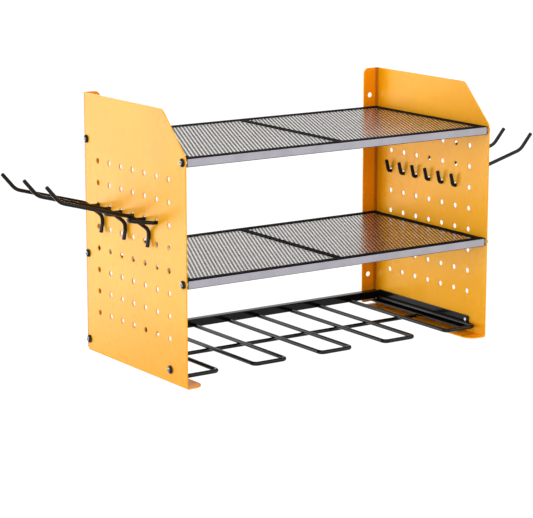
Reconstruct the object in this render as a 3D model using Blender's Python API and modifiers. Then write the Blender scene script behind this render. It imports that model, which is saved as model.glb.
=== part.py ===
"""Wall mounted power tool organizer: two perforated sheet steel side panels that carry two mesh
shelves, a wire drill rack and six peg hooks. Metres, +Z up, the wall is the plane Y = 0, the front
faces -Y, and the floor of the side panels is the plane Z = 0."""
import math

import bmesh
import bpy
from mathutils import Vector

# Side panels
body_width = 0.424
panel_height = 0.304
panel_depth = 0.219
sheet = 0.0015
bend_radius = 0.0025
rear_flange = 0.022
bottom_flange = 0.0245
chamfer = 0.047
chamfer_round = 0.009
bottom_flange_round = 0.014
rear_flange_round = 0.007
notch_round = 0.003
notch = 0.0012
bend_steps = 3
corner_steps = 3

# Field of peg holes
peg_pitch = 0.0254
peg_bore = 0.0064
first_column = 0.0316
first_row = 0.0506
least_peg_front_margin = 0.020
least_peg_top_margin = 0.070
hole_sides = 8

# Wall holes in the rear flanges
wall_bore = 0.0065
wall_hole_inset = 0.0125
wall_hole_from_top = 0.034
wall_hole_from_bottom = 0.040

# Clearances
seat_gap = 0.0003
bore_gap = 0.0003

# Shelves
tube = 0.010
tube_wall = 0.001
tube_corner = 0.001
upper_shelf_from_top = 0.0532
lower_shelf_height = 0.1168
front_setback = 0.0005
mesh_drop = 0.0008
mesh_thickness = 0.0015
mesh_border = 0.003
mesh_strand = 0.003
mesh_columns = 7
mesh_rows = 4

# Fasteners
screw_diameter = 0.005
screw_clearance_bore = 0.0055
head_diameter = 0.0095
head_height = 0.00275
head_crown = 0.0062
head_rim = 0.0009
socket_diameter = 0.0033
socket_depth = 0.0016
shelf_screw_length = 0.014
bracket_screw_length = 0.005
insert_flange_diameter = 0.009
insert_flange = 0.0012
insert_length = 0.012
turned_sides = 8

# Drill rack
rail_height = 0.0143
angle_leg = 0.014
angle_thickness = 0.002
angle_bottom = 0.0069
angle_setback = 0.029
angle_screw_setback = 0.0335
angle_screw_height = 0.016
loop_wire = 0.0048
loop_count = 5
loop_width = 0.048
loop_setback = 0.0112
loop_round = 0.0055
rod_from_wall = 0.105

# Peg hooks
hook_wire = 0.0044
hook_row = 5
columns_per_hook = 2
hook_places = ("rear", "middle", "front")
arm_tip_reach = 0.129
arm_tip_rise = 0.0497
arm_bend_reach = 0.1124
arm_bend_rise = 0.0307
arm_root_reach = 0.0245
arm_root_rise = 0.0065
arm_round = 0.018
leg_knee_drop = 0.0105
leg_heel_drop = 0.0195
leg_foot_drop = 0.0302
leg_foot_reach = 0.0045
leg_round = 0.009
prong_eye_reach = 0.027
prong_eye_half = 0.00535
prong_eye_round = 0.0069
prong_eye_rise = 0.00205
prong_straight = 0.004
prong_root_round = 0.0045
prong_turn = 0.0035
prong_turn_round = 0.0035
prong_tip_depth = 0.007
prong_tip_rise = 0.0137
wire_steps = 3

# What follows from these sizes
half_width = body_width / 2
inner_half = half_width - sheet
end_gap = seat_gap + insert_flange + seat_gap
bar_half = inner_half - end_gap
front_bar_y = -(panel_depth - front_setback - tube / 2)
rear_bar_y = -(sheet + seat_gap + tube / 2)
upper_shelf_height = panel_height - upper_shelf_from_top
peg_columns = 1 + int((panel_depth - first_column - least_peg_front_margin) / peg_pitch)
peg_rows = 1 + int((panel_height - first_row - least_peg_top_margin) / peg_pitch)
angle_front = panel_depth - angle_setback
angle_screw_from_wall = panel_depth - angle_screw_setback
loop_front = panel_depth - loop_setback
hook_row_height = first_row + peg_pitch * hook_row
merge_distance = seat_gap / 10
cut_tolerance = merge_distance / 10


def linear(red, green, blue):
    """A screen colour in 0 to 255 as the linear values that a shader takes."""
    def channel(value):
        share = value / 255
        return share / 12.92 if share <= 0.04045 else ((share + 0.055) / 1.055) ** 2.4
    return channel(red), channel(green), channel(blue), 1.0


def finish(name, colour, roughness, metallic):
    material = bpy.data.materials.new(name)
    material.use_nodes = True
    shader = material.node_tree.nodes["Principled BSDF"]
    shader.inputs["Base Color"].default_value = colour
    shader.inputs["Roughness"].default_value = roughness
    shader.inputs["Metallic"].default_value = metallic
    return material


def collect(name, data, collection):
    thing = bpy.data.objects.new(name, data)
    collection.objects.link(thing)
    return thing


def fillet(corner, before, after, radius, steps):
    """Points of an arc that rounds the corner between two straight runs."""
    to_before = (before - corner).normalized()
    to_after = (after - corner).normalized()
    half_angle = to_before.angle(to_after) / 2
    tangent = radius / math.tan(half_angle)
    centre = corner + (to_before + to_after).normalized() * radius / math.sin(half_angle)
    start = (corner + to_before * tangent - centre).normalized()
    end = (corner + to_after * tangent - centre).normalized()
    return [centre + start.slerp(end, step / steps) * radius for step in range(steps + 1)]


def rounded(corners, closed, steps):
    """A route through the corners, each given as a point and the radius of its rounding."""
    points = []
    count = len(corners)
    for index, (corner, radius) in enumerate(corners):
        at_end = not closed and index in (0, count - 1)
        if radius == 0 or at_end:
            points.append(Vector(corner))
            continue
        before = Vector(corners[index - 1][0])
        after = Vector(corners[(index + 1) % count][0])
        points.extend(fillet(Vector(corner), before, after, radius, steps))
    return points


def ring(centre_x, centre_y, bore, sides):
    """A polygon whose flats touch the bore's circle from outside."""
    radius = bore / 2 / math.cos(math.pi / sides)
    angles = [math.tau * (side + 0.5) / sides for side in range(sides)]
    return [Vector((centre_x + radius * math.cos(a), centre_y + radius * math.sin(a), 0)) for a in angles]


def flat_curve(name, loops, half_thickness):
    """A filled flat outline with its holes, raised to both sides."""
    curve = bpy.data.curves.new(name, "CURVE")
    curve.dimensions = "2D"
    curve.fill_mode = "BOTH"
    curve.extrude = half_thickness
    for loop in loops:
        spline = curve.splines.new("POLY")
        spline.points.add(len(loop) - 1)
        for point, place in zip(spline.points, loop):
            point.co = (place.x, place.y, 0, 1)
        spline.use_cyclic_u = True
    return curve


def wire(name, route, diameter, material, collection, location):
    """A round wire along a route, with flat cut ends."""
    curve = bpy.data.curves.new(name, "CURVE")
    curve.dimensions = "3D"
    curve.bevel_depth = diameter / 2
    curve.bevel_resolution = 2
    curve.use_fill_caps = True
    spline = curve.splines.new("POLY")
    spline.points.add(len(route) - 1)
    for point, place in zip(spline.points, route):
        point.co = (place[0], place[1], place[2], 1)
    spline.use_smooth = True
    curve.materials.append(material)
    thing = collect(name, curve, collection)
    thing.location = location
    return thing


def mesh_of(thing):
    """The evaluated mesh of an object, which is then removed."""
    bpy.context.view_layer.update()
    graph = bpy.context.evaluated_depsgraph_get()
    mesh = bpy.data.meshes.new_from_object(thing.evaluated_get(graph), depsgraph=graph)
    bpy.data.objects.remove(thing)
    return mesh


def developed(width):
    """Length of the flat sheet that makes a flange of this width, from the start of its bend."""
    return math.pi / 2 * bend_radius + width - bend_radius


def around_bend(beyond):
    """How far a point of the blank ends up inward and onward, when it lies beyond the bend's start."""
    arc = math.pi / 2 * bend_radius
    if beyond >= arc:
        return bend_radius + beyond - arc, bend_radius
    angle = beyond / bend_radius
    return bend_radius * (1 - math.cos(angle)), bend_radius * math.sin(angle)


def flat_sheet(name, loops, facing, collection):
    """Working mesh of a flat sheet with its holes, which faces up (1) or down (-1) its own Z axis."""
    blank = mesh_of(collect(name, flat_curve(name, loops, 0), collection))
    work = bmesh.new()
    work.from_mesh(blank)
    bpy.data.meshes.remove(blank)
    bmesh.ops.remove_doubles(work, verts=work.verts, dist=merge_distance)
    bmesh.ops.beautify_fill(work, faces=work.faces, edges=work.edges, method="AREA")
    turned_over = [face for face in work.faces if face.normal.z * facing < 0]
    bmesh.ops.reverse_faces(work, faces=turned_over)
    return work


def thicken(name, work, thickness, material, collection):
    """An object of the sheet, whose thickness goes inward from the skin that it was given."""
    skin = bpy.data.meshes.new(name)
    work.to_mesh(skin)
    work.free()
    skin.materials.append(material)
    thing = collect(name, skin, collection)
    wall = thing.modifiers.new("thickness", "SOLIDIFY")
    wall.thickness = thickness
    wall.offset = -1
    wall.use_even_offset = True
    return thing


def bent_sheet(name, loops, side, outer_x, thickness, foot, rear, material, collection):
    """A flat blank in the Y-Z plane, bent inward at its foot and, where asked, at the wall."""
    work = flat_sheet(name, loops, side, collection)
    arc = math.pi / 2 * bend_radius
    for step in range(bend_steps + 1):
        passed = arc * step / bend_steps
        lines = [(Vector((0, foot + bend_radius - passed, 0)), Vector((0, 1, 0)))]
        if rear:
            lines.append((Vector((passed - bend_radius, 0, 0)), Vector((1, 0, 0))))
        for place, normal in lines:
            everything = work.verts[:] + work.edges[:] + work.faces[:]
            bmesh.ops.bisect_plane(work, geom=everything, plane_co=place, plane_no=normal, dist=cut_tolerance)
    for vert in work.verts:
        y, z = vert.co.x, vert.co.y
        inward = 0
        if z < foot + bend_radius:
            inward, onward = around_bend(foot + bend_radius - z)
            z = foot + bend_radius - onward
        elif rear and y > -bend_radius:
            inward, onward = around_bend(y + bend_radius)
            y = onward - bend_radius
        vert.co = (side * (outer_x - inward), y, z)
    return thicken(name, work, thickness, material, collection)


def panel_loops():
    """Outline and holes of a side panel's flat blank, as (y, z)."""
    blank_foot = bend_radius - developed(bottom_flange)
    blank_rear = developed(rear_flange) - bend_radius
    notch_y = -(bend_radius + notch)
    notch_z = bend_radius + notch
    outline = rounded([
        ((-panel_depth, blank_foot, 0), bottom_flange_round),
        ((-panel_depth, panel_height - chamfer, 0), chamfer_round),
        ((-panel_depth + chamfer, panel_height, 0), chamfer_round),
        ((blank_rear, panel_height, 0), rear_flange_round),
        ((blank_rear, notch_z, 0), notch_round),
        ((notch_y, notch_z, 0), 0),
        ((notch_y, blank_foot, 0), notch_round),
    ], True, corner_steps)
    loops = [outline]
    for column in range(peg_columns):
        for row in range(peg_rows):
            y = -(first_column + peg_pitch * column)
            z = first_row + peg_pitch * row
            loops.append(ring(y, z, peg_bore, hole_sides))
    for height in (upper_shelf_height, lower_shelf_height):
        for y in (front_bar_y, rear_bar_y):
            loops.append(ring(y, height, screw_clearance_bore, hole_sides))
    loops.append(ring(rear_bar_y, rail_height, screw_clearance_bore, hole_sides))
    loops.append(ring(-angle_screw_from_wall, angle_screw_height, screw_clearance_bore, hole_sides))
    wall_hole_y = developed(wall_hole_inset) - bend_radius
    for z in (panel_height - wall_hole_from_top, wall_hole_from_bottom):
        loops.append(ring(wall_hole_y, z, wall_bore, hole_sides))
    return loops


def side_panel(name, side, material, collection):
    return bent_sheet(name, panel_loops(), side, half_width, sheet, 0, True, material, collection)


def angle_bracket(name, side, material, collection):
    """Steel angle along the foot of a panel's inner side, with one tapped hole for its front screw."""
    blank_foot = angle_bottom + bend_radius - developed(angle_leg)
    angle_top = angle_bottom + angle_leg
    angle_rear = rear_bar_y - tube / 2 - seat_gap
    outline = [Vector(place) for place in (
        (-angle_front, blank_foot, 0), (-angle_front, angle_top, 0),
        (angle_rear, angle_top, 0), (angle_rear, blank_foot, 0))]
    tapped = ring(-angle_screw_from_wall, angle_screw_height, screw_diameter + 2 * bore_gap, hole_sides)
    outer_x = inner_half - seat_gap
    return bent_sheet(name, [outline, tapped], side, outer_x, angle_thickness, angle_bottom, False,
                      material, collection)


def square_tube(name, length, centre, along_x, material, collection):
    """An open square steel tube with broken outer corners."""
    def square(half, corner):
        return rounded([((x * half, y * half, 0), corner) for x, y in ((-1, -1), (1, -1), (1, 1), (-1, 1))],
                       True, 1)
    loops = [square(tube / 2, tube_corner), square(tube / 2 - tube_wall, 0)]
    curve = flat_curve(name, loops, length / 2)
    curve.materials.append(material)
    thing = collect(name, curve, collection)
    quarter = math.pi / 2
    thing.rotation_euler = (quarter, 0, quarter) if along_x else (quarter, 0, 0)
    thing.location = centre
    return thing


def mesh_deck(name, centre_x, width, height, material, collection):
    """Expanded metal between the bars: staggered diamond openings in a thin sheet."""
    front = front_bar_y + tube / 2 + seat_gap
    rear = rear_bar_y - tube / 2 - seat_gap
    depth = rear - front
    cell_x = (width - 2 * mesh_border) / mesh_columns
    cell_y = (depth - 2 * mesh_border) / mesh_rows
    half_x = (cell_x - mesh_strand) / 2
    half_y = (cell_y - mesh_strand) / 2
    half_width_x = width / 2
    loops = [[Vector((-half_width_x, front, 0)), Vector((half_width_x, front, 0)),
              Vector((half_width_x, rear, 0)), Vector((-half_width_x, rear, 0))]]
    for row in range(2 * mesh_rows - 1):
        staggered = row % 2
        y = front + mesh_border + cell_y * (row + 1) / 2
        for column in range(mesh_columns - staggered):
            x = -half_width_x + mesh_border + cell_x * (column + (1 + staggered) / 2)
            loops.append([Vector((x - half_x, y, 0)), Vector((x, y - half_y, 0)),
                          Vector((x + half_x, y, 0)), Vector((x, y + half_y, 0))])
    thing = thicken(name, flat_sheet(name, loops, 1, collection), mesh_thickness, material, collection)
    thing.location = (centre_x, 0, height + tube / 2 - mesh_drop)
    return thing


def shelf(level, height, frame_material, mesh_material, collection):
    """Front, rear, side and centre bars with a mesh deck each side of the centre bar."""
    square_tube(f"{level}_shelf_front_bar", 2 * bar_half, (0, front_bar_y, height), True,
                frame_material, collection)
    square_tube(f"{level}_shelf_rear_bar", 2 * bar_half, (0, rear_bar_y, height), True,
                frame_material, collection)
    bar_length = rear_bar_y - front_bar_y - tube - 2 * seat_gap
    middle_y = (rear_bar_y + front_bar_y) / 2
    side_bar_x = bar_half - tube / 2
    for label, x in (("left_side", -side_bar_x), ("centre", 0), ("right_side", side_bar_x)):
        square_tube(f"{level}_shelf_{label}_bar", bar_length, (x, middle_y, height), False,
                    frame_material, collection)
    deck_width = side_bar_x - tube - 2 * seat_gap
    for label, side in (("left", -1), ("right", 1)):
        mesh_deck(f"{level}_shelf_{label}_mesh", side * side_bar_x / 2, deck_width, height,
                  mesh_material, collection)


def turned(profile):
    """Mesh of a profile of (radius, height) turned round the Z axis."""
    mesh = bpy.data.meshes.new("profile")
    points = [(radius, 0, height) for radius, height in profile]
    edges = [(index, index + 1) for index in range(len(points) - 1)]
    mesh.from_pydata(points, edges, [])
    thing = bpy.data.objects.new("profile", mesh)
    bpy.context.scene.collection.objects.link(thing)
    screw = thing.modifiers.new("turn", "SCREW")
    screw.steps = turned_sides
    screw.render_steps = turned_sides
    screw.use_merge_vertices = True
    screw.merge_threshold = merge_distance
    return mesh_of(thing)


def seat(name, shape, place, side, material, collection):
    """A fastener on its seat, turned to face the side that it is driven from."""
    thing = collect(name, shape, collection)
    thing.location = place
    thing.rotation_euler = (0, side * math.pi / 2, 0)
    if not shape.materials:
        shape.materials.append(material)
    return thing


def screw_shape(length):
    """Button head screw, seated on its head's underside at height 0."""
    return turned([
        (0, head_height - socket_depth),
        (socket_diameter / 2, head_height - socket_depth),
        (socket_diameter / 2, head_height),
        (head_crown / 2, head_height - head_rim / 2),
        (head_diameter / 2, head_rim),
        (head_diameter / 2, 0),
        (screw_diameter / 2, 0),
        (screw_diameter / 2, -length),
        (0, -length),
    ])


def insert_shape():
    """Threaded end insert: a flange on the tube's end and a bored body inside the tube."""
    bore = screw_diameter / 2 + bore_gap
    body = tube / 2 - tube_wall - seat_gap
    flange = insert_flange_diameter / 2
    return turned([
        (bore, -insert_length),
        (bore, insert_flange),
        (flange, insert_flange),
        (flange, 0),
        (body, 0),
        (body, -insert_length),
        (bore, -insert_length),
    ])


def fasteners(kind, shape, face, places, material, collection):
    """One fastener at each place on both sides, each an object of its own that shares one shape."""
    for label, side in (("left", -1), ("right", 1)):
        for where, y, z in places:
            seat(f"{kind}_{label}_{where}", shape, (side * face, y, z), side, material, collection)


def drill_rack(frame_material, wire_material, collection):
    """Angles along both panels, a rail at the wall, a rod across and five wire loops on them."""
    angle_bracket("left_drill_rack_bracket", -1, frame_material, collection)
    angle_bracket("right_drill_rack_bracket", 1, frame_material, collection)
    square_tube("drill_rack_rear_rail", 2 * bar_half, (0, rear_bar_y, rail_height), True,
                frame_material, collection)
    wire_height = angle_bottom + angle_thickness + seat_gap + loop_wire / 2
    rod_height = wire_height - loop_wire - seat_gap
    rod_half = inner_half - seat_gap - angle_leg - seat_gap
    wire("drill_rack_cross_rod", [(-rod_half, 0, 0), (rod_half, 0, 0)], loop_wire, wire_material,
         collection, (0, -rod_from_wall, rod_height))
    outer_edge = inner_half - seat_gap - angle_thickness - seat_gap
    pitch = (2 * outer_edge - loop_width) / (loop_count - 1)
    half = (loop_width - loop_wire) / 2
    back = rear_bar_y - tube / 2 - seat_gap
    front = loop_wire / 2 - loop_front
    corners = [((-half, back, 0), 0), ((-half, front, 0), loop_round),
               ((half, front, 0), loop_round), ((half, back, 0), 0)]
    route = rounded(corners, False, wire_steps + 1)
    for index in range(loop_count):
        x = pitch * (index - (loop_count - 1) / 2)
        wire(f"drill_loop_{index + 1}", route, loop_wire, wire_material, collection, (x, 0, wire_height))


def hook(name, side, y, material, collection):
    """Peg hook that tips on the inner lower edges of its two holes. Reach is counted outward from
    the panel's outer face and rise from the row of holes."""
    pivot = Vector((side * inner_half, y, hook_row_height - peg_bore / 2))
    axis = bpy.data.objects.new(f"{name}_pivot", None)
    collection.objects.link(axis)
    axis.location = pivot

    def place(reach, along, rise):
        point = Vector((side * (half_width + reach), y + along, hook_row_height + rise))
        return point - pivot

    leg_reach = hook_wire / 2 + seat_gap
    arm = rounded([
        (place(arm_tip_reach, 0, arm_tip_rise), 0),
        (place(arm_bend_reach, 0, arm_bend_rise), arm_round),
        (place(arm_root_reach, 0, arm_root_rise), arm_round),
        (place(leg_reach, 0, -leg_knee_drop), leg_round),
        (place(leg_reach, 0, -leg_heel_drop), leg_round),
        (place(leg_foot_reach, 0, -leg_foot_drop), 0),
    ], False, wire_steps)
    arm_wire = wire(f"{name}_arm", arm, hook_wire, material, collection, (0, 0, 0))
    arm_wire.parent = axis

    hole_rise = hook_wire / 2 + seat_gap - peg_bore / 2
    half_pitch = peg_pitch / 2
    turn_reach = -(sheet + prong_turn)
    tip_reach = -(sheet + prong_tip_depth)
    one_side = [
        (tip_reach, half_pitch, prong_tip_rise, 0),
        (turn_reach, half_pitch, hole_rise, prong_turn_round),
        (prong_straight, half_pitch, hole_rise, prong_root_round),
        (prong_eye_reach, prong_eye_half, prong_eye_rise, prong_eye_round),
    ]
    other_side = [(reach, -along, rise, radius) for reach, along, rise, radius in reversed(one_side)]
    corners = [(place(reach, along, rise), radius) for reach, along, rise, radius in one_side + other_side]
    prongs = wire(f"{name}_prongs", rounded(corners, False, wire_steps), hook_wire, material,
                  collection, (0, 0, 0))
    prongs.parent = axis


def clear_scene():
    for thing in list(bpy.data.objects):
        bpy.data.objects.remove(thing, do_unlink=True)


def build():
    clear_scene()
    parts = bpy.data.collections.new("wall_power_tool_organizer")
    bpy.context.scene.collection.children.link(parts)
    yellow = finish("yellow_powder_coat", linear(250, 170, 30), 0.45, 0.0)
    dark = finish("dark_painted_steel", linear(70, 70, 76), 0.5, 0.0)
    mesh_grey = finish("grey_expanded_steel", linear(96, 92, 90), 0.5, 0.0)
    black = finish("black_gloss_wire", linear(20, 18, 20), 0.25, 0.0)
    steel = finish("black_screw_steel", linear(24, 22, 24), 0.35, 0.6)

    side_panel("left_side_panel", -1, yellow, parts)
    side_panel("right_side_panel", 1, yellow, parts)
    screw_face = half_width + seat_gap
    insert_face = bar_half + seat_gap
    long_screw = screw_shape(shelf_screw_length)
    insert = insert_shape()
    for level, height in (("upper", upper_shelf_height), ("lower", lower_shelf_height)):
        shelf(level, height, dark, mesh_grey, parts)
        ends = [("front", front_bar_y, height), ("rear", rear_bar_y, height)]
        fasteners(f"{level}_shelf_insert", insert, insert_face, ends, steel, parts)
        fasteners(f"{level}_shelf_screw", long_screw, screw_face, ends, steel, parts)

    drill_rack(black, black, parts)
    rail_end = [("rear", rear_bar_y, rail_height)]
    fasteners("drill_rail_insert", insert, insert_face, rail_end, steel, parts)
    fasteners("drill_rail_screw", long_screw, screw_face, rail_end, steel, parts)
    bracket_end = [("front", -angle_screw_from_wall, angle_screw_height)]
    fasteners("drill_bracket_screw", screw_shape(bracket_screw_length), screw_face, bracket_end, steel, parts)

    for label, side in (("left", -1), ("right", 1)):
        for where, column in zip(hook_places, range(0, peg_columns - 1, columns_per_hook)):
            y = -(first_column + peg_pitch * (column + 0.5))
            hook(f"{label}_{where}_hook", side, y, black, parts)


build()
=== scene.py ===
import math

import bmesh
import bpy
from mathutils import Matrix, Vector


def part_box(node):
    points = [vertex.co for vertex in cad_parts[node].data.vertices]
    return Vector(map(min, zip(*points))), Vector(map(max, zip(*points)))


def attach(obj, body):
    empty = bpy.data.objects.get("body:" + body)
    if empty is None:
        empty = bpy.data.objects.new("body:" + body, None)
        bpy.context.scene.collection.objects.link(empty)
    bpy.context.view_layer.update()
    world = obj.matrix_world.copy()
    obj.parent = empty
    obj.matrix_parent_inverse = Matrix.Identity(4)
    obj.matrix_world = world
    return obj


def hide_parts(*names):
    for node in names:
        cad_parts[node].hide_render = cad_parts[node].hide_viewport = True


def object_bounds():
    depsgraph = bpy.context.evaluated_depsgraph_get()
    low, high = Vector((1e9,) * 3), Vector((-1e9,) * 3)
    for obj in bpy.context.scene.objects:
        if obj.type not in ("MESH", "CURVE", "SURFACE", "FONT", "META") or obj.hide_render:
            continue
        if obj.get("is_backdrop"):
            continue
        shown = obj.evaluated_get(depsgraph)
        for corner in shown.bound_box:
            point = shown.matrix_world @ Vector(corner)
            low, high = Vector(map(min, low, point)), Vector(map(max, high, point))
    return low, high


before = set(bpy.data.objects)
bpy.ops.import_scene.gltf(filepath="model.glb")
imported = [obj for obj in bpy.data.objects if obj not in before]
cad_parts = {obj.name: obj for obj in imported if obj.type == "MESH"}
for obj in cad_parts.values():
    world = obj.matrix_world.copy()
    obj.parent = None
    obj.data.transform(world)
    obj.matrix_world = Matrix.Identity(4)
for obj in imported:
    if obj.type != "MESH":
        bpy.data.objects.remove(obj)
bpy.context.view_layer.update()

# Camera
# It stands front left of the organizer and a little above it, far enough away that the
# uprights of the side panels stay nearly parallel.
camera_place = (-1.4127, -2.1268, 0.6225)
camera_tilt = math.radians(78.067)
camera_heading = math.radians(-34.392)
camera_lens = 144.19
sensor_width = 36

bpy.ops.object.select_all(action="DESELECT")
bpy.ops.object.camera_add(location=camera_place, rotation=(camera_tilt, 0, camera_heading))
camera = bpy.context.object
camera.name = "camera"
camera.data.lens = camera_lens
camera.data.sensor_width = sensor_width
camera.data.sensor_fit = "HORIZONTAL"
bpy.context.scene.camera = camera
bpy.context.scene.view_settings.view_transform = "Standard"

# Light, backdrop and floor
# A white studio over a pale floor, with soft lamps at the left, front, right front and top, one
# behind left that puts a sheen on the left panel and one behind that lights the right panel's
# inner side. The organizer hangs at the height of a wall cabinet.
ambient_level = 0.5
white = (1, 1, 1, 1)
floor_drop = 1.3
floor_size = 40
floor_grey = (0.86, 0.86, 0.86, 1)
floor_glow = 1.2
floor_glow_share = 0.85
lamp_aim = Vector((0, -0.11, 0.15))


class Signal:
    """A shader socket that takes part in sums, so that a finish is written as arithmetic."""

    def __init__(self, tree, socket=None):
        self.tree = tree
        self.socket = socket

    def node(self, kind, settings, inputs, output=0):
        """Adds a node, sets it up, feeds its sockets and gives one of its outputs."""
        made = self.tree.nodes.new(kind)
        for key, value in settings.items():
            setattr(made, key, value)
        for key, value in inputs.items():
            if isinstance(value, Signal):
                self.tree.links.new(value.socket, made.inputs[key])
            else:
                made.inputs[key].default_value = value
        return Signal(self.tree, made.outputs[output])

    def other(self, output):
        """Another output of the same node."""
        return Signal(self.tree, self.socket.node.outputs[output])

    def feed(self, node, name):
        """Links the signal to a socket of a node that is there already."""
        self.tree.links.new(self.socket, node.inputs[name])

    def math(self, operation, first, second=0):
        return self.node("ShaderNodeMath", {"operation": operation}, {0: first, 1: second})

    def fraction(self):
        return self.math("FRACT", self)

    def __abs__(self):
        return self.math("ABSOLUTE", self)

    def __neg__(self):
        return self.math("MULTIPLY", self, -1)

    def __add__(self, more):
        return self.math("ADD", self, more)

    def __sub__(self, less):
        return self.math("SUBTRACT", self, less)

    def __rsub__(self, whole):
        return self.math("SUBTRACT", whole, self)

    def __mul__(self, factor):
        return self.math("MULTIPLY", self, factor)

    def __pow__(self, exponent):
        return self.math("POWER", self, exponent)

    def __gt__(self, limit):
        return self.math("GREATER_THAN", self, limit)

    def __lt__(self, limit):
        return self.math("LESS_THAN", self, limit)

    __radd__ = __add__
    __rmul__ = __mul__


studio = bpy.data.worlds.new("studio")
studio.use_nodes = True
bpy.context.scene.world = studio
backdrop = studio.node_tree.nodes["Background"]
backdrop.inputs["Color"].default_value = white
ray = Signal(studio.node_tree).node("ShaderNodeLightPath", {}, {}, "Is Camera Ray")
seen = ray + ray.other("Is Glossy Ray") + ray.other("Is Transmission Ray")
(seen * (1 - ambient_level) + ambient_level).feed(backdrop, "Strength")

bpy.ops.mesh.primitive_plane_add(size=floor_size, location=(0, 0, -floor_drop))
floor = bpy.context.object
bpy.ops.object.transform_apply(location=True, rotation=True, scale=True)
floor.name = "floor"
paper = bpy.data.materials.new("studio floor")
paper.use_nodes = True
tree = paper.node_tree
tree.nodes.remove(tree.nodes["Principled BSDF"])
matt = Signal(tree).node("ShaderNodeBsdfDiffuse", {}, {"Color": floor_grey})
glow = Signal(tree).node("ShaderNodeEmission", {}, {"Color": white, "Strength": floor_glow})
ray = Signal(tree).node("ShaderNodeLightPath", {}, {}, "Is Camera Ray")
share = (ray + ray.other("Is Glossy Ray")) * floor_glow_share
surface = share.node("ShaderNodeMixShader", {}, {0: share, 1: matt, 2: glow})
surface.feed(tree.nodes["Material Output"], "Surface")
floor.data.materials.append(paper)
floor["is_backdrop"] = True

for name, place, size, power in (
    ("left_lamp", (-2.5, -1.4, 0.6), 1.2, 18),
    ("front_lamp", (-0.62, -1.6, 0.35), 1.0, 5.0),
    ("sheen_lamp", (-0.80, 0.68, 0.11), 0.65, 5.7),
    ("inner_lamp", (-0.10, 0.75, 0.20), 0.8, 3.5),
    ("right_front_lamp", (1.5, -1.9, 0.9), 1.4, 13),
    ("top_lamp", (-0.3, -0.6, 2.3), 1.6, 22),
):
    bpy.ops.object.light_add(type="AREA", location=place)
    lamp = bpy.context.object
    lamp.name = name
    lamp.data.size = size
    lamp.data.energy = power
    lamp.rotation_euler = (lamp_aim - Vector(place)).to_track_quat("-Z", "Y").to_euler()

# Side panels
# Two mirrored sheets of 1.5 mm steel, punched with a field of peg holes and holes for the
# screws, folded inward along the foot and along the wall, and powder coated yellow.
half_width = 0.212
sheet = 0.0015
fold_radius = 0.0025
fold_segments = 6
rear_flange = 0.022
bottom_flange = 0.0245
foot_notch = 0.0037
chamfer = 0.047
chamfer_round = 0.009
bottom_flange_round = 0.014
rear_flange_round = 0.007
notch_round = 0.003
corner_segments = 8
peg_pitch = 0.0254
peg_bore = 0.0064
peg_columns = 7
peg_rows = 8
first_column = 0.0316
first_row = 0.0506
screw_bore = 0.0055
wall_bore = 0.0065
wall_hole_inset = 0.0125
wall_hole_heights = (0.040, 0.270)
hole_sides = 28
punch_depth = 0.008
coat_edge = 0.00022
cut_edge_angle = math.radians(50)
smooth_below = math.radians(30)
flat_weight = 90
tiny = 0.0002
merge_reach = 0.00001
across_x = (0, math.pi / 2, 0)
across_y = (math.pi / 2, 0, 0)

yellow = (246, 172, 13)
yellow_deep = (242, 164, 10)
yellow_rubbed = (222, 138, 30)
# Painted shade: deeper orange on the flange faces, dark brown in the fold along the wall
flange_shade_tone = (246, 140, 8)
fold_shade = (150, 64, 8)
speck_share = 0.35
rubbed_share = 0.55
rubbed_reach = 0.78 * peg_bore
flange_shade_share = 0.75
flange_shade_reach = 2 * fold_radius
fold_shade_share = 0.65
fold_shade_reach = 2.4 * fold_radius
facing_limit = 0.7
coat_specular = 0.2
coat_tint = (1, 0.95, 0.65, 1)
coat_roughness = 0.23
coat_relief = 0.00009


def linear(red, green, blue):
    """A screen colour in 0 to 255 as the linear values that a shader takes."""
    def channel(value):
        share = value / 255
        return share / 12.92 if share <= 0.04045 else ((share + 0.055) / 1.055) ** 2.4
    return channel(red), channel(green), channel(blue), 1.0


def new_finish(name, slot, specular):
    """An empty finish: its material, its shader and the place on the piece."""
    finish = bpy.data.materials.new(name)
    finish.use_nodes = True
    finish["slot"] = slot
    shader = finish.node_tree.nodes["Principled BSDF"]
    shader.inputs["Specular IOR Level"].default_value = specular
    return finish, shader, Signal(finish.node_tree).node("ShaderNodeTexCoord", {}, {}, "Object")


def parts_of(vector):
    """The x, y and z of a vector."""
    x = vector.node("ShaderNodeSeparateXYZ", {}, {0: vector}, "X")
    return x, x.other("Y"), x.other("Z")


def grain(place, scale, detail):
    """Cloudy noise from 0 to 1, with so many clouds to the metre."""
    return place.node("ShaderNodeTexNoise", {},
                      {"Vector": place, "Scale": scale, "Detail": detail})


def fade(value, start, end):
    """Falls softly from 1 to 0 while the value goes from start to end."""
    return value.node("ShaderNodeMapRange", {"interpolation_type": "SMOOTHSTEP"},
                      {"Value": value, "From Min": start, "From Max": end,
                       "To Min": 1, "To Max": 0})


def blended(share, first, second):
    """A colour between two, each a screen colour or a signal."""
    colours = [each if isinstance(each, Signal) else linear(*each) for each in (first, second)]
    return share.node("ShaderNodeMix", {"data_type": "RGBA"},
                      {0: share, 6: colours[0], 7: colours[1]}, 2)


def raise_grain(height, depth, shader):
    """Puts the height, 0 to 1, on the surface as relief of this depth."""
    relief = height.node("ShaderNodeBump", {}, {"Height": height, "Distance": depth})
    relief.feed(shader, "Normal")


def middle_of(node):
    """The middle of the node's box."""
    low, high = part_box(node)
    return (low + high) / 2


def outer_face(node):
    """How far from the middle plane the node's outer face stands, on either side."""
    low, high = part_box(node)
    return max(high.x, -low.x)


def open_new(scale=(1, 1, 1)):
    """Sizes the primitive that was just added, fixes its place and opens it for modelling."""
    piece = bpy.context.object
    piece.scale = scale
    bpy.ops.object.transform_apply(location=True, rotation=True, scale=True)
    bpy.ops.object.mode_set(mode="EDIT")
    return piece


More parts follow.
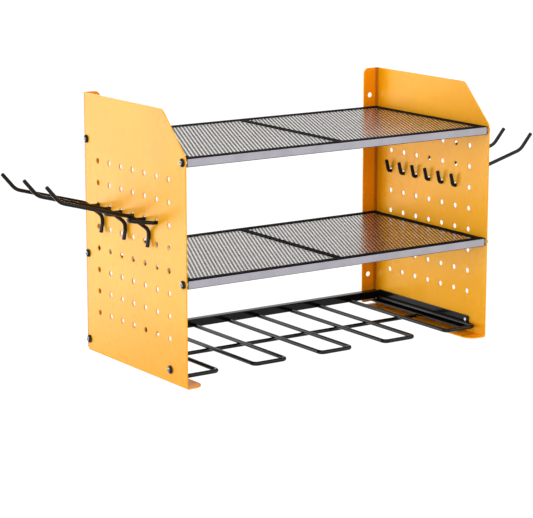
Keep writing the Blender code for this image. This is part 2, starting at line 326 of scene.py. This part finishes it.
def pick(kind, test):
    """Picks the vertices, edges or faces whose place and direction pass the test."""
    bpy.ops.mesh.select_mode(type=kind)
    bpy.ops.mesh.select_all(action="DESELECT")
    mesh = bpy.context.object.data
    work = bmesh.from_edit_mesh(mesh)
    if kind == "VERT":
        for vert in work.verts:
            vert.select_set(test(vert.co, vert.normal))
    elif kind == "EDGE":
        for edge in work.edges:
            start, end = (vert.co for vert in edge.verts)
            edge.select_set(test((start + end) / 2, (end - start).normalized()))
    else:
        for face in work.faces:
            face.select_set(test(face.calc_center_median(), face.normal))
    work.select_flush_mode()
    bmesh.update_edit_mesh(mesh)


def stretch(by):
    """Extrudes what is picked."""
    bpy.ops.mesh.extrude_region_move(TRANSFORM_OT_translate={"value": by})


def cut(place, normal, drop=False):
    """A cut through the whole piece, which may drop what lies beyond it."""
    bpy.ops.mesh.select_mode(type="FACE")
    bpy.ops.mesh.select_all(action="SELECT")
    bpy.ops.mesh.bisect(plane_co=place, plane_no=normal, clear_outer=drop)


def round_corner(corner, size):
    """Rounds a corner of a sheet with an arc that starts this far from it."""
    corner = Vector(corner)
    pick("VERT", lambda at, facing: (at - corner).length < tiny)
    bpy.ops.mesh.bevel(offset=size, segments=corner_segments, affect="VERTICES")


def apply_all(piece):
    """Back in object mode, applies the piece's modifiers from the first to the last."""
    if piece.mode == "EDIT":
        bpy.ops.object.mode_set(mode="OBJECT")
    bpy.ops.object.select_all(action="DESELECT")
    piece.select_set(True)
    bpy.context.view_layer.objects.active = piece
    for modifier in list(piece.modifiers):
        bpy.ops.object.modifier_apply(modifier=modifier.name)


def thicken(piece, thickness, offset=-1):
    """Gives a sheet its thickness, inward from the skin."""
    bpy.ops.mesh.select_all(action="SELECT")
    bpy.ops.mesh.remove_doubles(threshold=merge_reach)
    wall = piece.modifiers.new("thickness", "SOLIDIFY")
    wall.thickness = thickness
    wall.offset = offset
    wall.use_even_offset = True
    apply_all(piece)


def take_out(piece, cutter):
    """Cuts the shape of the cutter out of the piece."""
    hollow = piece.modifiers.new("hollow", "BOOLEAN")
    hollow.operation = "DIFFERENCE"
    hollow.solver = "EXACT"
    hollow.object = cutter
    apply_all(piece)
    bpy.data.objects.remove(cutter)


def punch(piece, holes):
    """Cuts round holes, each given as its middle, the turn of its axis and its bore."""
    bpy.ops.object.select_all(action="DESELECT")
    for index, (middle, turn, bore) in enumerate(holes):
        bpy.ops.mesh.primitive_cylinder_add(vertices=hole_sides, radius=bore / 2,
                                            depth=punch_depth, location=middle, rotation=turn)
        if index == 0:
            cutter = open_new()
    bpy.ops.object.mode_set(mode="OBJECT")
    take_out(piece, cutter)


def break_edges(piece, width):
    """Takes the sharpness off the cut edges, as their coat does."""
    edge = piece.modifiers.new("edges", "BEVEL")
    edge.width = width
    edge.segments = 2
    edge.limit_method = "ANGLE"
    edge.angle_limit = cut_edge_angle
    apply_all(piece)


def hand_over(piece, form, node, finish, body="organizer", smooth=smooth_below):
    """Names and shades a finished piece, which then stands for its node and rides on its body."""
    apply_all(piece)
    bpy.ops.object.transform_apply(location=True, rotation=True, scale=True)
    bpy.ops.object.shade_smooth_by_angle(angle=smooth)
    flat = piece.modifiers.new("flat faces stay flat", "WEIGHTED_NORMAL")
    flat.weight = flat_weight
    flat.keep_sharp = True
    apply_all(piece)
    piece.name = f"{node}_{form}"
    piece.data.name = piece.name
    piece.data.materials.clear()
    piece.data.materials.append(finish)
    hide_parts(node)
    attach(piece, body)


def powder_coat():
    """Yellow, specked, rubbed around the peg holes, with painted shade on flanges and rear fold.
    """
    finish, shader, place = new_finish("yellow powder coat", "yellow_powder_coat", coat_specular)
    shader.inputs["Specular Tint"].default_value = coat_tint
    x, y, z = parts_of(place)
    facing_y, facing_z = parts_of(place.other("Normal"))[1:]
    drift = fade(grain(place, 7, 3), 0.35, 0.65)
    speck = fade(grain(place, 2600, 1), 0.30, 0.42)
    colour = blended(drift, yellow, yellow_deep)
    colour = blended(speck * speck_share, colour, yellow_deep)

    column = (0.5 - first_column / peg_pitch) - y * (1 / peg_pitch)
    row = z * (1 / peg_pitch) + (0.5 - first_row / peg_pitch)
    field = (column > 0) * (column < peg_columns) * (row > 0) * (row < peg_rows)
    aside = (column.fraction() - 0.5) * peg_pitch
    above = (row.fraction() - 0.5) * peg_pitch
    from_hole = (aside * aside + above * above) ** 0.5
    patches = fade(grain(place, 60, 4), 0.62, 0.40)
    rubbed = fade(from_hole, peg_bore / 2, rubbed_reach) * field * patches
    colour = blended(rubbed * rubbed_share, colour, yellow_rubbed)

    # Painted shade: flange faces that face the front or up turn deeper orange, the fold at the
    # wall darker still
    on_rear_flange = (facing_y < -facing_limit) * (y > -flange_shade_reach)
    on_bottom_flange = (facing_z > facing_limit) * (z < flange_shade_reach)
    colour = blended((on_rear_flange + on_bottom_flange) * flange_shade_share, colour, flange_shade_tone)
    by_wall = fade(-y, fold_radius, fold_shade_reach)
    by_side = fade(half_width - abs(x), fold_radius, fold_shade_reach)
    colour = blended(by_wall * by_side * fold_shade_share, colour, fold_shade)
    colour.feed(shader, "Base Color")
    (grain(place, 35, 3) * 0.10 + rubbed * 0.12 + coat_roughness).feed(shader, "Roughness")
    raise_grain(grain(place, 900, 1.5) * 0.8 + speck * 0.2, coat_relief, shader)
    return finish


def side_panel(node, side, finish):
    """A panel, folded inward from its outer face. Side is -1 at the left and 1 at the right."""
    low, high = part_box(node)
    outer = outer_face(node) * side
    depth, height = -low.y, high.z
    bpy.ops.object.select_all(action="DESELECT")
    bpy.ops.mesh.primitive_plane_add(size=1, location=(outer, -depth / 2, height / 2),
                                     rotation=(0, side * math.pi / 2, 0))
    piece = open_new((height, depth, 1))
    cut((0, -foot_notch, 0), (0, 1, 0))
    cut((0, 0, foot_notch), (0, 0, 1))
    pick("FACE", lambda at, facing: at.y > -foot_notch and at.z < foot_notch)
    bpy.ops.mesh.delete(type="FACE")
    pick("EDGE", lambda at, along: at.y > -tiny)
    stretch((-side * rear_flange, 0, 0))
    pick("EDGE", lambda at, along: at.z < tiny)
    stretch((-side * bottom_flange, 0, 0))
    pick("EDGE", lambda at, along: abs(at.x - outer) < tiny and abs(along.x) < tiny
         and (at.y > -tiny or at.z < tiny))
    bpy.ops.mesh.bevel(offset=fold_radius, segments=fold_segments, affect="EDGES")
    cut((0, -depth, height - chamfer), (0, -1, 1), drop=True)
    chamfer_offset = chamfer_round * math.tan(math.pi / 8)
    round_corner((outer, -depth, height - chamfer), chamfer_offset)
    round_corner((outer, chamfer - depth, height), chamfer_offset)
    rear_edge = outer - side * rear_flange
    bottom_edge = outer - side * bottom_flange
    round_corner((rear_edge, 0, height), rear_flange_round)
    round_corner((rear_edge, 0, foot_notch), notch_round)
    round_corner((bottom_edge, -depth, 0), bottom_flange_round)
    round_corner((bottom_edge, -foot_notch, 0), notch_round)
    thicken(piece, sheet)

    middle_x = outer - side * sheet / 2
    holes = [((middle_x, -first_column - peg_pitch * column, first_row + peg_pitch * row),
              across_x, peg_bore) for column in range(peg_columns) for row in range(peg_rows)]
    for screwed in ("upper_shelf_front_bar", "upper_shelf_rear_bar", "lower_shelf_front_bar",
                    "lower_shelf_rear_bar", "drill_rail_screw_left_rear",
                    "drill_bracket_screw_left_front"):
        middle = middle_of(screwed)
        holes.append(((middle_x, middle.y, middle.z), across_x, screw_bore))
    for z in wall_hole_heights:
        holes.append(((outer - side * wall_hole_inset, 0, z), across_y, wall_bore))
    punch(piece, holes)
    break_edges(piece, coat_edge)
    hand_over(piece, "sheet", node, finish)


coat = powder_coat()
side_panel("left_side_panel", -1, coat)
side_panel("right_side_panel", 1, coat)

# Shelf bars
# Two welded frames of 10 mm square steel tube with 1 mm walls, painted black in satin, with a
# painted reflection along the front as a grey band. A centre bar divides each frame.
tube_wall = 0.001
tube_corner = 0.0012
tube_corner_segments = 4
tube_corner_reach = 1.3
in_line = 0.9
paint_black = (12, 11, 13)
paint_dusty = (24, 23, 25)
paint_relief = 0.00004
# The band is a painted reflection of the front light; the black left at its right end is painted
# shade in the gap to the panel
band_from_top = 0.0010
band_from_end = 0.0010
band_facing = 0.95
band_reflection_grey = (173, 170, 179)
band_reflection_dull = (160, 157, 165)


def satin_finish(name, main, second, roughness, specular):
    """A satin finish of two close tones, in soft patches and fine specks."""
    finish, shader, place = new_finish(name, "dark_painted_steel", specular)
    clouds = fade(grain(place, 45, 4), 0.35, 0.62)
    fine = fade(grain(place, 1500, 2), 0.30, 0.45)
    colour = blended(clouds * 0.6, main, second)
    blended(fine * 0.4, colour, second).feed(shader, "Base Color")
    (grain(place, 90, 3) * 0.16 + roughness).feed(shader, "Roughness")
    raise_grain(grain(place, 1100, 2), paint_relief, shader)
    return finish


def square_tube(node, finish, seams=()):
    """A tube along the node's box, cut around where its paint changes."""
    low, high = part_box(node)
    size = high - low
    middle = middle_of(node)
    along = Vector((1, 0, 0)) if size.x > size.y else Vector((0, 1, 0))
    bpy.ops.object.select_all(action="DESELECT")
    bpy.ops.mesh.primitive_cube_add(size=1, location=middle)
    piece = open_new(size)
    pick("FACE", lambda at, facing: abs(facing.dot(along)) > in_line)
    bpy.ops.mesh.inset(thickness=tube_wall, use_individual=True)
    bpy.ops.mesh.bridge_edge_loops()
    half = min(size) / 2

    def on_corner(at, way):
        out = at - middle
        out -= along * out.dot(along)
        outermost = max(map(abs, out)) > half - tiny
        at_corner = out.length > tube_corner_reach * half
        return abs(way.dot(along)) > in_line and outermost and at_corner
    pick("EDGE", on_corner)
    bpy.ops.mesh.bevel(offset=tube_corner, segments=tube_corner_segments, affect="EDGES")
    for seam, across in seams:
        cut(seam, across)
    hand_over(piece, "tube", node, finish)
    return piece


def banded_tube(node, finish, band_finish):
    """A front bar with a painted reflection as a band on its front, short of its top and right
    end.
    """
    low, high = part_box(node)
    top, end = high.z - band_from_top, high.x - band_from_end
    seams = (((0, 0, top), (0, 0, 1)), ((end, 0, 0), (1, 0, 0)))
    tube = square_tube(node, finish, seams)
    tube.data.materials.append(band_finish)
    for face in tube.data.polygons:
        if face.normal.y < -band_facing and face.center.z < top and face.center.x < end:
            face.material_index = 1


paint = satin_finish("black satin paint", paint_black, paint_dusty,
                    roughness=0.60, specular=0.02)
# Painted reflection of the front light on the front faces of the front bars
band = satin_finish("painted front reflection", band_reflection_grey, band_reflection_dull, roughness=0.32, specular=0.4)
for level in ("upper", "lower"):
    for bar in ("rear", "left_side", "centre", "right_side"):
        square_tube(f"{level}_shelf_{bar}_bar", paint)
    banded_tube(f"{level}_shelf_front_bar", paint, band)

# Mesh decks
# Expanded steel: a slit sheet pulled open into small diamonds, whose strands stand at a slant.
# Each piece is cut to fit between the bars and tacked to them.
cell_width = 0.0048
cell_length = 0.0096
strand_half = 0.00085
strand_slant = 0.0001
strand_thickness = 0.0013
strand_smooth_below = math.radians(20)
strand_grey = (226, 222, 217)
strand_dull = (196, 191, 186)
strand_side_shade = (20, 15, 14)
strand_metal = 0.95
strand_face_limit = 0.9
strand_slit_limit = 0.5
strand_roughness = 0.20
strand_relief = 0.00003


def expanded_steel():
    """Bare steel on the strands' top and bottom faces, and painted shade on their walls in the
    slits.
    """
    finish, shader, place = new_finish("expanded steel", "grey_expanded_steel", specular=0.5)
    clouds = fade(grain(place, 120, 3), 0.35, 0.65)
    facing_z = parts_of(place.other("Normal"))[2]
    # Painted shade: the strands' side walls are dark and not metallic
    flat = fade(abs(facing_z), strand_face_limit, strand_slit_limit)
    steel = blended(clouds * 0.6, strand_grey, strand_dull)
    blended(flat, strand_side_shade, steel).feed(shader, "Base Color")
    (flat * strand_metal).feed(shader, "Metallic")
    (grain(place, 400, 2) * 0.12 + strand_roughness).feed(shader, "Roughness")
    raise_grain(grain(place, 2500, 2), strand_relief, shader)
    return finish


def mesh_deck(node, finish):
    """A grid turned by 45 degrees and pulled to diamonds, of which the strands are kept."""
    low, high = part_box(node)
    size = high - low
    columns = round(size.x / cell_width)
    rows = round(size.y / cell_length)
    count = columns + rows + 2
    bpy.ops.object.select_all(action="DESELECT")
    bpy.ops.mesh.primitive_grid_add(x_subdivisions=count, y_subdivisions=count, size=count,
                                    location=(0, 0, 0), rotation=(0, 0, math.pi / 4))
    bpy.ops.object.transform_apply(location=True, rotation=True, scale=True)
    bpy.context.object.location = middle_of(node)
    piece = open_new((size.x / columns / math.sqrt(2), size.y / rows / math.sqrt(2), 1))
    for corner, outward in ((low, (-1, 0, 0)), (low, (0, -1, 0)),
                            (high, (1, 0, 0)), (high, (0, 1, 0))):
        cut(corner, outward, drop=True)
    bpy.ops.mesh.select_all(action="SELECT")
    bpy.ops.mesh.inset(thickness=strand_half, use_individual=True)
    work = bmesh.from_edit_mesh(piece.data)
    openings = [face for face in work.faces if face.select]

    def corners(choose):
        return {choose(face.verts, key=lambda vert: vert.co.y).co.copy().freeze()
                for face in openings}
    rear_corners, front_corners = corners(max), corners(min)
    bpy.ops.mesh.delete(type="ONLY_FACE")
    for picked, lift in ((rear_corners, strand_slant), (front_corners, -strand_slant)):
        pick("VERT", lambda at, facing: at.copy().freeze() in picked)
        bpy.ops.transform.translate(value=(0, 0, lift))
    thicken(piece, strand_thickness, offset=0)
    hand_over(piece, "expanded_steel", node, finish, smooth=strand_smooth_below)


steel_mesh = expanded_steel()
for level in ("upper", "lower"):
    for half in ("left", "right"):
        mesh_deck(f"{level}_shelf_{half}_mesh", steel_mesh)

# Screws and end inserts
# M5 button head screws with a hexagon socket, blackened, which go through the panel into a
# threaded insert pressed into each tube's end, or into a tapped hole of the rack's angle.
screw_radius = 0.0025
shelf_screw_length = 0.014
bracket_screw_length = 0.005
thread_depth = 0.0003
thread_pitch = 0.0008
head_radius = 0.00475
head_height = 0.00275
head_rim = 0.0009
dome_lean = math.radians(62)
dome_steps = 7
dome_inset = 0.62
socket_across = 0.0033
socket_depth = 0.0016
socket_lip = 0.60 * socket_across
socket_lip_end = 0.72 * socket_across
screw_seat = 0.0003
screw_twist = 2.4
bracket_screw_twist = 1
turned_sides = 32
insert_bore = 0.0028
insert_flange_radius = 0.0045
insert_flange = 0.0012
insert_body = 0.0037
insert_length = 0.012
oxide_black = (14, 13, 15)
oxide_glint_and_wear = (205, 204, 209)
oxide_roughness = 0.20
oxide_relief = 0.00002


def black_oxide():
    """Black, with a painted glint in the socket and a few faintly worn patches."""
    finish, shader, place = new_finish("blackened steel", "black_screw_steel", specular=0.15)
    patches = fade(grain(place, 500, 4), 0.60, 0.44)
    from_axis = place.node("ShaderNodeAttribute", {"attribute_name": "from_axis"}, {}, "Fac")
    # Painted glint: the socket is bright and metallic; the patches add faint wear
    in_socket = fade(from_axis, socket_lip, socket_lip_end)
    socket_glint = in_socket * (patches * 0.2 + 0.8)
    glint_and_wear = socket_glint * 0.9 + patches * 0.04
    blended(glint_and_wear, oxide_black, oxide_glint_and_wear).feed(shader, "Base Color")
    glint_and_wear.feed(shader, "Metallic")
    roughness = grain(place, 700, 2) * 0.16 + oxide_roughness - socket_glint * 0.06
    roughness.feed(shader, "Roughness")
    raise_grain(grain(place, 3000, 2), oxide_relief, shader)
    return finish


def close_ends():
    """Closes the open ends of the piece and points its faces outward."""
    bpy.ops.mesh.select_all(action="SELECT")
    bpy.ops.mesh.fill_holes(sides=0)
    bpy.ops.mesh.select_all(action="SELECT")
    bpy.ops.mesh.normals_make_consistent(inside=False)


def turned(profile):
    """Turns a solid from its profile of radius and height, one step after the other."""
    radius, height = profile[0]
    bpy.ops.object.select_all(action="DESELECT")
    bpy.ops.mesh.primitive_circle_add(vertices=turned_sides, radius=radius,
                                      location=(0, 0, height))
    piece = open_new()
    bpy.ops.mesh.select_all(action="SELECT")
    for next_radius, next_height in profile[1:]:
        stretch((0, 0, next_height - height))
        share = next_radius / radius
        bpy.ops.transform.resize(value=(share, share, 1), center_override=(0, 0, next_height))
        radius, height = next_radius, next_height
    bpy.ops.mesh.select_all(action="SELECT")
    bpy.ops.mesh.remove_doubles(threshold=merge_reach)
    close_ends()
    bpy.ops.object.mode_set(mode="OBJECT")
    return piece


def button_screw(length):
    """A screw that stands on its head's underside at height 0, with its shank below."""
    root = screw_radius - thread_depth
    profile = [(root - thread_depth, -length)]
    for turn in range(int((length - thread_pitch) / thread_pitch)):
        start = -length + thread_depth + turn * thread_pitch
        profile += [(root, start), (screw_radius, start + thread_pitch / 2)]
    profile += [(root, -thread_pitch / 2), (screw_radius, 0), (head_radius - tiny, 0),
                (head_radius, tiny), (head_radius, head_rim)]
    for step in range(1, dome_steps + 1):
        lean = dome_lean * step / dome_steps
        inset = dome_inset * math.sin(lean) / math.sin(dome_lean)
        rise = (math.cos(dome_lean - lean) - math.cos(dome_lean)) / (1 - math.cos(dome_lean))
        profile.append((head_radius * (1 - inset), head_rim + (head_height - head_rim) * rise))
    piece = turned(profile)
    bpy.ops.object.select_all(action="DESELECT")
    bpy.ops.mesh.primitive_cylinder_add(vertices=6, radius=socket_across / math.sqrt(3),
                                        depth=2 * socket_depth, location=(0, 0, head_height))
    take_out(piece, bpy.context.object)
    away = piece.data.attributes.new("from_axis", "FLOAT", "POINT")
    for vert, value in zip(piece.data.vertices, away.data):
        value.value = vert.co.xy.length
    return piece


def seat(model, node, form, face, twist, finish):
    """Sets a copy of the model in its node's place, turned to the side it is driven from."""
    side = -1 if "_left_" in node else 1
    middle = middle_of(node)
    bpy.ops.object.select_all(action="DESELECT")
    model.select_set(True)
    bpy.context.view_layer.objects.active = model
    bpy.ops.object.duplicate(linked=False)
    piece = bpy.context.object
    piece.rotation_mode = "ZYX"
    piece.rotation_euler = (0, side * math.pi / 2, twist)
    piece.location = (side * face, middle.y, middle.z)
    hand_over(piece, form, node, finish)


oxide = black_oxide()
screw_face = outer_face("right_side_panel") + screw_seat
insert_face = outer_face("upper_shelf_front_bar") + screw_seat
shelf_screw = button_screw(shelf_screw_length)
bracket_screw = button_screw(bracket_screw_length)
end_insert = turned([(insert_bore, -insert_length), (insert_bore, insert_flange),
                     (insert_flange_radius - tiny, insert_flange),
                     (insert_flange_radius, insert_flange - tiny), (insert_flange_radius, tiny),
                     (insert_flange_radius - tiny, 0), (insert_body, 0),
                     (insert_body, -insert_length), (insert_bore, -insert_length)])
twist = 0
for side in ("left", "right"):
    for group, bar in (("upper_shelf", "front"), ("upper_shelf", "rear"), ("lower_shelf", "front"),
                       ("lower_shelf", "rear"), ("drill_rail", "rear")):
        twist += screw_twist
        seat(shelf_screw, f"{group}_screw_{side}_{bar}", "button_head", screw_face, twist, oxide)
        seat(end_insert, f"{group}_insert_{side}_{bar}", "threaded_bush", insert_face, 0, oxide)
    seat(bracket_screw, f"drill_bracket_screw_{side}_front", "button_head", screw_face,
         twist + bracket_screw_twist, oxide)
for model in (shelf_screw, bracket_screw, end_insert):
    bpy.data.objects.remove(model)

# Wire loop rack
# A steel angle along the foot of each panel, a square rail at the wall, a round rod across the
# middle and five U-shaped loops of black coated wire with slots between them.
angle_thickness = 0.002
angle_leg = 0.014
angle_top_round = 0.002
angle_foot_round = 0.003
angle_edge = 0.0003
tapped_bore = 0.0056
loop_wire = 0.0048
loop_round = 0.0055
loop_count = 5
wire_sides = 20
wire_end_round = 0.18
wire_end_angle = math.radians(60)
wire_end_segments = 3
bend_step = math.radians(11)
least_bend_steps = 3
wire_black = (6, 5, 6)
wire_worn = (18, 17, 18)
wire_roughness = 0.10
wire_coat = 0.14
wire_coat_roughness = 0.06
wire_relief = 0.00004


def gloss_coat():
    """Black, and glossy under a thin clear coat."""
    finish, shader, place = new_finish("black gloss coat", "black_gloss_wire", specular=0.08)
    shader.inputs["Coat Roughness"].default_value = wire_coat_roughness
    clouds = fade(grain(place, 90, 3), 0.55, 0.40)
    blended(clouds * 0.5, wire_black, wire_worn).feed(shader, "Base Color")
    (grain(place, 160, 3) * 0.10 + wire_roughness).feed(shader, "Roughness")
    (grain(place, 50, 2) * 0.14 + wire_coat).feed(shader, "Coat Weight")
    raise_grain(grain(place, 700, 2), wire_relief, shader)
    return finish


def angle_bracket(node, side, finish):
    """An angle, folded inward from its upright leg, with a tapped hole for its screw."""
    low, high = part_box(node)
    middle = middle_of(node)
    outer = outer_face(node) * side
    bpy.ops.object.select_all(action="DESELECT")
    bpy.ops.mesh.primitive_plane_add(size=1, location=(outer, middle.y, middle.z),
                                     rotation=(0, side * math.pi / 2, 0))
    piece = open_new((high.z - low.z, high.y - low.y, 1))
    pick("EDGE", lambda at, along: at.z < low.z + tiny)
    stretch((-side * angle_leg, 0, 0))
    pick("EDGE", lambda at, along: at.z < low.z + tiny and abs(at.x - outer) < tiny)
    bpy.ops.mesh.bevel(offset=fold_radius, segments=fold_segments, affect="EDGES")
    for end in (low.y, high.y):
        round_corner((outer, end, high.z), angle_top_round)
        round_corner((outer - side * angle_leg, end, low.z), angle_foot_round)
    thicken(piece, angle_thickness)
    hole = middle_of("drill_bracket_screw_left_front")
    punch(piece, [((outer, hole.y, hole.z), across_x, tapped_bore)])
    break_edges(piece, angle_edge)
    hand_over(piece, "angle", node, finish)


def bent_wire(corners, diameter):
    """Bends a round wire through the corners, each given as a place and its bend's radius."""
    places = [Vector(place) for place, radius in corners]
    heading = (places[1] - places[0]).normalized()
    bpy.ops.object.select_all(action="DESELECT")
    bpy.ops.mesh.primitive_circle_add(vertices=wire_sides, radius=diameter / 2,
                                      location=places[0],
                                      rotation=heading.to_track_quat("Z", "Y").to_euler())
    piece = open_new()
    bpy.ops.mesh.select_all(action="SELECT")
    here = places[0]
    for index in range(1, len(places) - 1):
        corner = places[index]
        radius = corners[index][1]
        onward = (places[index + 1] - corner).normalized()
        turn = heading.angle(onward)
        start = corner - heading * radius * math.tan(turn / 2)
        axis = heading.cross(onward).normalized()
        stretch(start - here)
        steps = max(least_bend_steps, round(turn / bend_step))
        bpy.ops.mesh.spin(steps=steps, angle=-turn,
                          center=start + axis.cross(heading) * radius, axis=axis)
        here = corner + onward * radius * math.tan(turn / 2)
        heading = onward
    stretch(places[-1] - here)
    close_ends()
    bpy.ops.mesh.select_mode(type="EDGE")
    bpy.ops.mesh.select_all(action="DESELECT")
    bpy.ops.mesh.edges_select_sharp(sharpness=wire_end_angle)
    bpy.ops.mesh.bevel(offset=diameter * wire_end_round, segments=wire_end_segments,
                       affect="EDGES")
    bpy.ops.object.mode_set(mode="OBJECT")
    return piece


gloss = gloss_coat()
angle_bracket("left_drill_rack_bracket", -1, gloss)
angle_bracket("right_drill_rack_bracket", 1, gloss)
square_tube("drill_rack_rear_rail", gloss)
rod_low, rod_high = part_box("drill_rack_cross_rod")
rod_middle = middle_of("drill_rack_cross_rod")
rod_ends = [((x, rod_middle.y, rod_middle.z), 0) for x in (rod_low.x, rod_high.x)]
rod = bent_wire(rod_ends, loop_wire)
hand_over(rod, "rod", "drill_rack_cross_rod", gloss)
for number in range(1, loop_count + 1):
    low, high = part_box(f"drill_loop_{number}")
    height = (low.z + high.z) / 2
    left, right = low.x + loop_wire / 2, high.x - loop_wire / 2
    front = low.y + loop_wire / 2
    loop = bent_wire([((left, high.y, height), 0), ((left, front, height), loop_round),
                      ((right, front, height), loop_round), ((right, high.y, height), 0)],
                     loop_wire)
    hand_over(loop, "wire", f"drill_loop_{number}", gloss)

# Peg hooks
# Each is bent from two black coated wires that are welded together: an arm that slopes up and
# out with a leg that bears on the panel, and a hairpin whose two prongs go through two peg
# holes and turn up behind the panel.
hook_wire = 0.0044
hook_row = 5
hook_gap = 0.0003
arm_round = 0.018
# points of the arm: reach out from the panel and rise over the row
arm_path = ((0.129, 0.0497), (0.1124, 0.0307), (0.0245, 0.0065))
leg_round = 0.009
leg_drops = (0.0105, 0.0195)
leg_foot_reach = 0.0045
leg_foot_drop = 0.0302
# points of a prong: reach out from the panel, place along it, rise over the row, bend
prong_path = ((-0.0085, 0.0127, 0.0137, 0), (-0.005, 0.0127, -0.0007, 0.0035),
              (0.004, 0.0127, -0.0007, 0.0045), (0.027, 0.00535, 0.00205, 0.0069))
weld_place = (0.0236, 0, 0.0040)
weld_half = (0.0040, 0.0030, 0.0020)


def peg_hook(side_name, where, column, finish):
    """A hook between two columns of peg holes, counted from the wall."""
    side = -1 if side_name == "left" else 1
    outer = outer_face(f"{side_name}_side_panel")
    y = -(first_column + peg_pitch * (column + 0.5))
    row_height = first_row + peg_pitch * hook_row
    body = f"{side_name}_{where}_hook"

    def place(reach, along, rise):
        return Vector((side * (outer + reach), y + along, row_height + rise))

    leg_reach = hook_wire / 2 + hook_gap
    arm = [(place(reach, 0, rise), arm_round) for reach, rise in arm_path]
    arm += [(place(leg_reach, 0, -drop), leg_round) for drop in leg_drops]
    arm.append((place(leg_foot_reach, 0, -leg_foot_drop), 0))
    piece = bent_wire(arm, hook_wire)
    bpy.ops.object.select_all(action="DESELECT")
    bpy.ops.mesh.primitive_ico_sphere_add(subdivisions=3, radius=1, location=place(*weld_place))
    bpy.context.object.scale = weld_half
    bpy.ops.object.transform_apply(location=True, rotation=True, scale=True)
    piece.select_set(True)
    bpy.context.view_layer.objects.active = piece
    bpy.ops.object.join()
    hand_over(piece, "wire", f"{body}_arm", finish, body)

    hairpin = [(place(reach, along, rise), radius)
               for reach, along, rise, radius in prong_path]
    hairpin += [(place(reach, -along, rise), radius)
                for reach, along, rise, radius in reversed(prong_path)]
    hand_over(bent_wire(hairpin, hook_wire), "wire", f"{body}_prongs", finish, body)


for side_name in ("left", "right"):
    for where, column in (("rear", 0), ("middle", 2), ("front", 4)):
        peg_hook(side_name, where, column, gloss)

# Bounds of the pieces that are shown
low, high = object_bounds()
